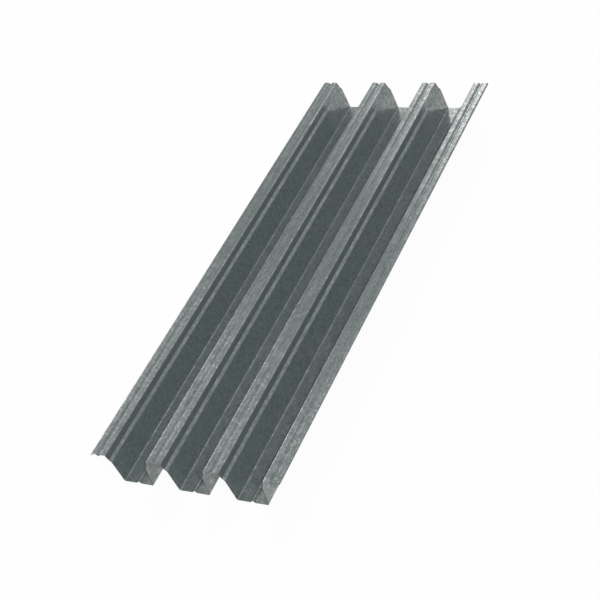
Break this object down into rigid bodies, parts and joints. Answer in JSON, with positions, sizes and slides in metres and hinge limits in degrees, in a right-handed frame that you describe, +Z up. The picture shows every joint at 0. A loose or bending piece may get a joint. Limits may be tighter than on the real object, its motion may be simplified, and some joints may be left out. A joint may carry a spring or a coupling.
{
  "type": "steel floor decking sheet",
  "caption": "Roll-formed galvanised steel deck sheet with deep trapezoidal troughs and narrow grooved crests, laid on beams to carry and reinforce a concrete floor slab.",
  "frame": {"origin": "middle of the overall width and of the length, on the level of the undersides of the trough floors", "axes": "+Y along the sheet's length, +X across the troughs, +Z up from the trough floors to the crests"},
  "size_m": [0.6564, 1.8, 0.114],
  "materials": {
    "galvanised_steel": "hot-dip galvanised, semi-gloss, with fine mottled zinc spangle"
  },
  "bodies": {
    "root": {"decking_sheet": "galvanised_steel"}
  },
  "joints": []
}
